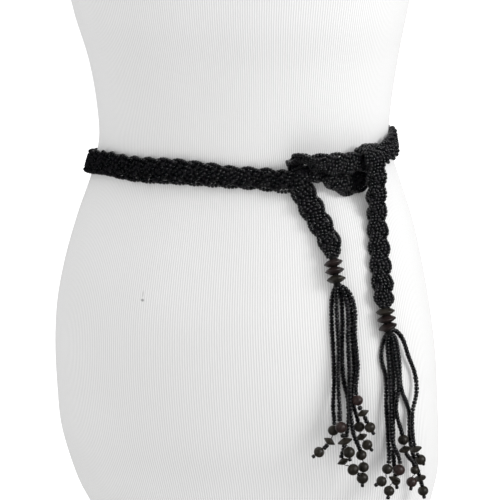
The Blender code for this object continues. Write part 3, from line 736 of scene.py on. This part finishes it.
def flat_bead(name, sides, bore, radius, half_thickness, rim, rounding):
    """A turned bead with full sloped faces and a narrow rim: a disc drawn out to two openings and drilled."""
    bpy.ops.object.select_all(action="DESELECT")
    bpy.ops.mesh.primitive_cylinder_add(vertices=sides, radius=radius, depth=2 * rim, end_fill_type="NGON")
    disc = bpy.context.object
    disc.name = disc.data.name = name
    shoulder_radius = radius + (bore - radius) * SHOULDER
    shoulder_height = (half_thickness - rim) * (SHOULDER + FULLNESS)
    for way in (1, -1):
        pick(disc, lambda place: place.z * way > rim * 0.5)
        step = (0.0, 0.0, way * shoulder_height)
        bpy.ops.mesh.extrude_region_move(TRANSFORM_OT_translate={"value": step})
        scale = shoulder_radius / radius
        bpy.ops.transform.resize(value=(scale, scale, 1.0), center_override=(0.0, 0.0, 0.0))
        step = (0.0, 0.0, way * (half_thickness - rim - shoulder_height))
        bpy.ops.mesh.extrude_region_move(TRANSFORM_OT_translate={"value": step})
        scale = bore / shoulder_radius
        bpy.ops.transform.resize(value=(scale, scale, 1.0), center_override=(0.0, 0.0, 0.0))
        bpy.ops.mesh.delete(type="ONLY_FACE")
    pick(disc, lambda place: abs(place.z) > half_thickness * 0.98)
    bpy.ops.mesh.bridge_edge_loops()
    bpy.ops.mesh.select_all(action="SELECT")
    bpy.ops.mesh.normals_make_consistent(inside=False)
    bpy.ops.object.mode_set(mode="OBJECT")
    edge = disc.modifiers.new("rounded_rims", "BEVEL")
    edge.width = rounding
    edge.segments = ROUNDING_SEGMENTS
    edge.limit_method = "ANGLE"
    edge.angle_limit = ROUNDED_ABOVE
    bpy.ops.object.modifier_apply(modifier=edge.name)
    return disc


def stood(name, pattern, place, axis, spin, material, node):
    """One wood bead from a pattern, stood along an axis at a place in millimetres."""
    mesh = pattern.copy()
    mesh.name = name
    turn = Vector((0, 0, 1)).rotation_difference(Vector(axis)).to_matrix().to_4x4()
    scale = Matrix.Scale(MM, 4)
    at_place = Matrix.Translation(Vector(place) * MM)
    mesh.transform(at_place @ turn @ Matrix.Rotation(spin, 4, "Z") @ scale)
    mesh.shade_smooth()
    piece = bpy.data.objects.new(name, mesh)
    bpy.context.collection.objects.link(piece)
    bpy.ops.object.select_all(action="DESELECT")
    piece.select_set(True)
    bpy.context.view_layer.objects.active = piece
    bpy.ops.object.shade_smooth_by_angle(angle=SMOOTH_BELOW)
    dress(piece, material)
    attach(piece, "root")
    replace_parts(piece, node)
    return piece


def wood_finish(name, dark, light):
    """Turned wood: grain drawn out along the bead's height, open pores, and a dull wax."""
    material, shader, add = new_finish(name)
    where = add("TexCoord", {}).node.outputs["Object"]
    long_grain = add("Mapping", {"Vector": where, "Scale": (1.0, 1.0, 0.22)})
    grain = add("TexNoise", {"Vector": long_grain, "Scale": 700.0, "Detail": 4.0, "Roughness": 0.6})
    pores = add("TexNoise", {"Vector": long_grain, "Scale": 1800.0, "Detail": 2.0})
    patches = add("TexNoise", {"Vector": where, "Scale": 130.0, "Detail": 2.0})
    mixed = add("Math", {0: patches, 1: 0.5, 2: grain}, operation="MULTIPLY_ADD")
    relief = add("Math", {0: pores, 1: 0.6, 2: grain}, operation="MULTIPLY_ADD")
    drive(
        shader,
        Base_Color=tones(add, mixed, dark, light, 0.55, 0.95),
        Roughness=add("MapRange", {"Value": grain, "To Min": 0.32, "To Max": 0.57}),
        Specular_IOR_Level=0.6,
        Normal=add("Bump", {"Height": relief, "Strength": 0.35, "Distance": 0.00025}),
    )
    return material


dark_wood = wood_finish("dark_olive_wood", (0.005, 0.0045, 0.0037), (0.036, 0.030, 0.020))
brown_wood = wood_finish("reddish_brown_wood", (0.006, 0.0038, 0.0037), (0.030, 0.0172, 0.0160))
COLLAR_WOODS = {"brown": brown_wood, "olive": dark_wood}
collar = flat_bead(
    "wood_collar",
    COLLAR_SIDES,
    COLLAR_BORE,
    COLLAR_RADIUS,
    COLLAR_HALF_THICKNESS,
    COLLAR_RIM,
    COLLAR_ROUNDING,
)
collar_pattern = collar.data
bpy.data.objects.remove(collar)
for side, rows in COLLARS.items():
    top, _ = BRAID_ENDS[side]
    root = on_form(*ROOTS[side])
    axis = (root - top) / np.linalg.norm(root - top)
    facing = off_form(turn_at(root), root[2])
    for number, (distance, tilt, wood) in enumerate(rows, 1):
        leaning = Vector(axis)
        leaning.rotate(Matrix.Rotation(math.radians(tilt), 3, Vector(facing)))
        name = f"wood_collar_{side}_{number}"
        place = top + axis * distance
        spin = number * COLLAR_SPIN
        node = f"collar_{side}_{number}"
        stood(name, collar_pattern, place, leaning, spin, COLLAR_WOODS[wood], node)

# Tassels: six strands of seed beads hang from each core, each through its own round and flat wood beads.
# A strand ends in a single seed bead that stops the last wood bead, below a small knot.
# Below the fullest level of the hips a strand hangs plumb.
HANG_HEIGHT = 190.0
ROOT_SPREAD = 1.1
ROOT_DEPTH = 0.7
ROOT_SUNK = 2.0
NUB_HALF_LENGTH = 1.3
SHORTEST_SEEDED = 4.0
BEAD_PLAY = 0.35
BEADS = {
    # kind: (radius, half length, bore radius)
    "round": (4.75, 4.4, 1.15),
    "small": (3.9, 3.6, 1.15),
    "large": (5.2, 4.8, 1.15),
    "bicone": (5.5, 2.8, 1.15),
    "wide": (6.6, 3.0, 1.15),
}
LEFT_STRANDS = (
    (
        # turn, height, lift, piece
        (40.5, 239.9, 3.0, None),
        (39.4, 217.2, 3.0, None),
        (39.2, 193.8, 3.0, None),
        (39.5, 170.1, 3.0, None),
        (39.1, 140.4, 4.0, None),
        (39.0, 120.9, 5.2, "round"),
        (37.4, 112.0, 8.0, "bicone"),
        (34.0, 102.9, 9.0, "round"),
        (32.1, 100.2, 10.0, "nub"),
    ),
    (
        (41.2, 239.5, 6.0, None),
        (40.6, 217.7, 7.0, None),
        (40.5, 194.4, 7.0, None),
        (40.1, 167.5, 8.0, None),
        (40.3, 141.4, 10.0, None),
        (40.2, 125.4, 14.2, "large"),
        (41.4, 113.2, 15.0, "wide"),
        (42.7, 103.3, 15.0, "large"),
        (42.5, 97.0, 15.0, "nub"),
    ),
    (
        (43.2, 238.9, 3.0, None),
        (43.2, 216.9, 3.0, None),
        (42.3, 193.6, 3.0, None),
        (42.8, 164.5, 3.0, None),
        (44.4, 146.8, 3.0, None),
        (44.5, 124.7, 3.0, None),
        (42.9, 104.7, 4.0, None),
        (42.0, 93.8, 8.0, "bicone"),
        (44.5, 87.4, 13.0, "large"),
        (46.0, 83.6, 14.0, "nub"),
    ),
    (
        (43.9, 240.2, 6.5, None),
        (44.6, 225.9, 7.0, None),
        (43.9, 200.2, 7.0, None),
        (44.1, 173.9, 7.0, None),
        (44.0, 147.6, 8.5, None),
        (44.8, 119.6, 11.0, None),
        (47.8, 99.2, 10.5, "round"),
        (49.3, 87.6, 7.6, "round"),
        (49.3, 77.4, 6.0, "large"),
        (49.6, 71.2, 6.0, "nub"),
    ),
    (
        (45.2, 241.3, 3.0, None),
        (46.7, 226.8, 3.0, None),
        (46.3, 199.3, 3.0, None),
        (46.6, 172.9, 3.0, None),
        (45.9, 146.8, 4.0, None),
        (48.2, 123.0, 5.0, "round"),
        (49.0, 113.8, 5.0, "bicone"),
        (51.0, 106.7, 6.0, "round"),
        (52.7, 102.7, 6.0, "nub"),
    ),
    (
        (45.3, 241.9, 7.0, None),
        (47.2, 227.3, 7.0, None),
        (46.5, 204.3, 7.0, None),
        (46.9, 178.1, 7.5, None),
        (46.4, 147.6, 10.2, "round"),
        (48.1, 136.3, 11.5, "bicone"),
        (50.3, 123.7, 13.0, "round"),
        (52.0, 117.6, 13.0, "nub"),
    ),
)
RIGHT_STRANDS = (
    (
        # turn, height, lift, piece
        (58.7, 196.4, 3.0, None),
        (57.5, 181.7, 3.0, None),
        (59.6, 163.6, 3.0, None),
        (59.4, 142.5, 4.0, None),
        (60.5, 108.5, 4.0, None),
        (59.5, 83.2, 6.0, "round"),
        (56.7, 73.2, 7.0, "round"),
        (54.3, 74.1, 7.0, "nub"),
    ),
    (
        (59.2, 195.1, 6.5, None),
        (59.5, 175.7, 7.0, None),
        (60.0, 144.8, 8.0, None),
        (60.5, 109.4, 9.0, None),
        (62.7, 82.6, 12.0, "large"),
        (60.1, 75.1, 13.6, "bicone"),
        (57.7, 65.8, 14.0, "round"),
        (58.1, 60.2, 14.0, "nub"),
    ),
    (
        (61.6, 194.0, 3.0, None),
        (63.0, 169.9, 3.0, None),
        (63.3, 143.2, 3.0, None),
        (63.3, 107.5, 3.0, None),
        (63.5, 85.3, 4.0, None),
        (63.7, 71.0, 6.0, "small"),
        (64.2, 64.8, 6.0, "nub"),
    ),
    (
        (61.3, 196.5, 7.2, None),
        (62.3, 179.5, 7.0, None),
        (64.1, 156.9, 7.0, None),
        (63.0, 135.0, 7.0, None),
        (66.3, 107.7, 8.0, "round"),
        (66.8, 99.0, 9.0, "bicone"),
        (72.4, 78.5, 9.0, "small"),
        (71.8, 67.6, 6.8, "round"),
        (72.0, 60.9, 6.8, "nub"),
    ),
    (
        (63.7, 198.1, 4.0, None),
        (66.0, 177.9, 3.0, None),
        (67.2, 152.8, 3.0, None),
        (71.7, 131.8, 3.0, None),
        (72.8, 104.5, 3.0, None),
        (76.5, 83.2, 2.8, None),
        (79.5, 67.4, 4.0, "bicone"),
        (81.3, 55.3, 5.0, "round"),
        (82.0, 48.4, 5.0, "nub"),
    ),
    (
        (64.4, 204.3, 5.0, None),
        (66.6, 197.7, 6.0, None),
        (69.4, 181.8, 6.0, None),
        (73.8, 162.7, 6.0, None),
        (74.2, 147.5, 7.0, None),
        (71.5, 130.6, 7.5, None),
        (71.7, 107.4, 8.0, None),
        (72.0, 97.6, 10.6, "bicone"),
        (74.6, 87.3, 11.2, "round"),
        (78.6, 81.8, 10.6, "nub"),
    ),
)
REDDISH = ("left_2_1", "left_6_1", "right_2_1", "right_4_4")
TASSEL_GIRTH = 1.2
ROUND_SIDES = 24
ROUND_RINGS = 16
FLAT_SIDES = 32
FLAT_RIM = 0.25
FLAT_ROUNDING = 0.3
BEAD_SPIN = 2.3
SPAN_POINTS = 25
WINDING_PITCH = 0.85
WINDING_RADIUS = 0.45
WINDING_SIDES = 16
WINDING_RINGS = 6
THREADS_RADIUS = 2.5
THREADS_SIDES = 12
THREADS_POINTS = 12
THREADS_INSET = 0.2
CORE_SUNK = 0.3


def half_length(kind):
    """How far a threaded piece reaches along its strand from its middle."""
    if kind is None:
        return 0.0
    return NUB_HALF_LENGTH if kind == "nub" else BEADS[kind][1]


def strand_pieces(root, rows):
    """Down one strand: its seeded lines, its thread, and its wood and stopper as (kind, place, axis)."""
    places = [root]
    places += [on_form(turn, height, lift, max(height, HANG_HEIGHT)) for turn, height, lift, _ in rows]
    kinds = [None] + [row[3] for row in rows]
    headings = []
    for before, place, after in zip(places[:1] + places, places, places[1:] + places[-1:]):
        heading = sum(step / max(np.linalg.norm(step), 1e-9) for step in (place - before, after - place))
        headings.append(heading / np.linalg.norm(heading))
    headings[-1] = headings[-2]
    places[-1] = places[-2] + headings[-2] * (half_length(kinds[-2]) + BEAD_PLAY + NUB_HALF_LENGTH)
    seeded, thread, threaded = [], [], []
    reaches = [half_length(kind) + (BEAD_PLAY if kind else 0.0) for kind in kinds]
    t = np.linspace(0.0, 1.0, SPAN_POINTS)[:, None]
    for i in range(1, len(places)):
        leave = places[i - 1] + headings[i - 1] * reaches[i - 1]
        arrive = places[i] - headings[i] * reaches[i]
        span = np.linalg.norm(arrive - leave)
        line = hermite(leave, headings[i - 1] * span, arrive, headings[i] * span, t)
        thread.append(line)
        if kinds[i]:
            threaded.append((kinds[i], places[i], headings[i]))
        if kinds[i] != "nub" and (span > SHORTEST_SEEDED or not kinds[i - 1]):
            if seeded and not kinds[i - 1]:
                seeded[-1] = np.concatenate([seeded[-1], line[1:]])
            else:
                seeded.append(line)
    return seeded, np.concatenate(thread), threaded


reddish_wood = wood_finish("dark_reddish_wood", (0.012, 0.0065, 0.006), (0.055, 0.030, 0.026))
bead_patterns = {}
for kind, (radius, half, hole) in BEADS.items():
    if kind in ("bicone", "wide"):
        bead = flat_bead(kind + "_bead", FLAT_SIDES, hole, radius, half, FLAT_RIM, FLAT_ROUNDING)
    else:
        bead = drilled_ball(kind + "_bead", ROUND_SIDES, ROUND_RINGS, hole, radius, half)
    bead_patterns[kind] = bead.data
    bpy.data.objects.remove(bead)

bpy.ops.object.select_all(action="DESELECT")
bpy.ops.mesh.primitive_torus_add(
    major_radius=CORE_RADIUS - WINDING_RADIUS,
    minor_radius=WINDING_RADIUS,
    major_segments=WINDING_SIDES,
    minor_segments=WINDING_RINGS,
)
winding_pattern = put_by(bpy.context.object)

for side, strand_rows in (("left", LEFT_STRANDS), ("right", RIGHT_STRANDS)):
    top, heading = BRAID_ENDS[side]
    root = on_form(*ROOTS[side])
    axis = (root - top) / np.linalg.norm(root - top)
    facing = off_form(turn_at(root), root[2])
    sideways = np.cross(axis, facing)
    count = len(strand_rows)
    beads, threads = [], []
    for number, rows in enumerate(strand_rows, 1):
        spread = (number - (count + 1) / 2) / ((count - 1) / 2)
        depth = (-1) ** number * ROOT_DEPTH
        start = root - axis * ROOT_SUNK + sideways * spread * ROOT_SPREAD + facing * depth
        seeded, thread, threaded = strand_pieces(start, rows)
        for line in seeded:
            run = run_of(line)
            pieces = max(1, round(run[-1] / SEED_PITCH))
            stops = (np.arange(pieces) + 0.5) * run[-1] / pieces
            girths = np.full(pieces, TASSEL_GIRTH)
            beads.append((at_runs(line, run, stops), at_runs(headings_of(line), run, stops), girths))
        run = run_of(thread)
        threads.append(at_runs(thread, run, np.arange(0.0, run[-1], THREAD_STEP)))
        for place_in_row, (kind, place, along) in enumerate(threaded, 1):
            if kind == "nub":
                beads.append((place[None], along[None], np.ones(1)))
                continue
            key = f"{side}_{number}_{place_in_row}"
            wood = reddish_wood if key in REDDISH else dark_wood
            spin = number * BEAD_SPIN + place_in_row
            pattern = bead_patterns[kind]
            stood(f"wood_bead_{key}", pattern, place, along, spin, wood, f"bead_{key}")
    tassel = strung_piece(f"{side}_tassel_strands", beads, threads, chance)
    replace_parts(tassel, f"tassel_{side}")

    core_top = top + heading * CORE_SUNK
    core_line = np.array([core_top, top + heading * CORE_LEAD, root, root + axis * CORE_TIP])
    run = run_of(core_line)
    stops = np.arange(WINDING_RADIUS, run[-1], WINDING_PITCH)
    places = at_runs(core_line, run, stops)
    axes = np.tile(axis, (len(stops), 1))
    sizes, spins = np.ones((len(stops), 3)), np.zeros(len(stops))
    points, faces = copies_of(winding_pattern, places, axes, sizes, spins)
    inner_stops = np.linspace(THREADS_INSET, run[-1] - THREADS_INSET, THREADS_POINTS)
    inner_line = at_runs(core_line, run, inner_stops)
    inner_points, inner_faces = tube_along(inner_line, THREADS_RADIUS, THREADS_SIDES)
    faces += [tuple(i + len(points) for i in face) for face in inner_faces]
    mesh = bpy.data.meshes.new(f"{side}_bound_core")
    mesh.from_pydata((np.concatenate([points, inner_points]) * MM).tolist(), [], faces)
    mesh.shade_smooth()
    core = bpy.data.objects.new(f"{side}_bound_core", mesh)
    bpy.context.collection.objects.link(core)
    dress(core, waxed_thread)
    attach(core, "root")
    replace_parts(core, f"tassel_{side}")

# Studio: a plain white floor that runs back out of sight, a soft light at each side and an even pale room.
# The room is a little brighter overhead and gives most of the cloth's light.
# Neither it nor the floor shows in the glass, so that only the soft lights glint there.
FLOOR_SIZE = 60.0
FLOOR_GAP = 0.0005
ROOM_LOW = 0.85
ROOM_HIGH = 0.88
bpy.ops.object.select_all(action="DESELECT")
bpy.ops.mesh.primitive_plane_add(size=FLOOR_SIZE, location=(0.0, 0.0, -FLOOR_GAP))
floor = bpy.context.object
floor.name = "studio_floor"
floor.visible_glossy = False
floor.visible_diffuse = False
paper, shader, add = new_finish("white_paper")
where = add("TexCoord", {}).node.outputs["Object"]
fibres = add("TexNoise", {"Vector": where, "Scale": 40.0, "Detail": 3.0})
drive(
    shader,
    Base_Color=tones(add, fibres, (0.93, 0.93, 0.93), (0.95, 0.95, 0.95)),
    Roughness=0.9,
    Emission_Color=(1.0, 1.0, 1.0, 1.0),
    Emission_Strength=0.6,
)
dress(floor, paper)

camera_right = Vector((math.cos(VIEW_TURN), math.sin(VIEW_TURN), 0.0))
toward = Vector((math.sin(VIEW_TURN), -math.cos(VIEW_TURN), 0.0))
LIGHTS = (
    # name, right, toward, up, size, power
    ("right_softbox", 1.72, 1.2, 0.8, 0.85, 21.5),
    ("left_fill", -1.9, 1.7, 0.3, 0.8, 4.0),
)
for name, right, near, up, size, power in LIGHTS:
    lamp = bpy.data.lights.new(name, "AREA")
    lamp.size = size
    lamp.energy = power
    light = bpy.data.objects.new(name, lamp)
    light.location = VIEW_POINT + camera_right * right + toward * near + Vector((0, 0, up))
    light.rotation_euler = (light.location - VIEW_POINT).to_track_quat("Z", "Y").to_euler()
    bpy.context.collection.objects.link(light)
room = bpy.data.worlds.new("studio_room")
room.use_nodes = True
nodes, links = room.node_tree.nodes, room.node_tree.links
direction = nodes.new("ShaderNodeTexCoord")
height = nodes.new("ShaderNodeSeparateXYZ")
brightness = nodes.new("ShaderNodeMapRange")
brightness.inputs["From Min"].default_value = -0.5
brightness.inputs["From Max"].default_value = 0.5
brightness.inputs["To Min"].default_value = ROOM_LOW
brightness.inputs["To Max"].default_value = ROOM_HIGH
links.new(direction.outputs["Generated"], height.inputs["Vector"])
links.new(height.outputs["Z"], brightness.inputs["Value"])
links.new(brightness.outputs["Result"], nodes["Background"].inputs["Strength"])
nodes["Background"].inputs["Color"].default_value = (1.0, 1.0, 1.0, 1.0)
room.cycles_visibility.glossy = False
bpy.context.scene.world = room
bpy.context.scene.view_settings.view_transform = "Standard"
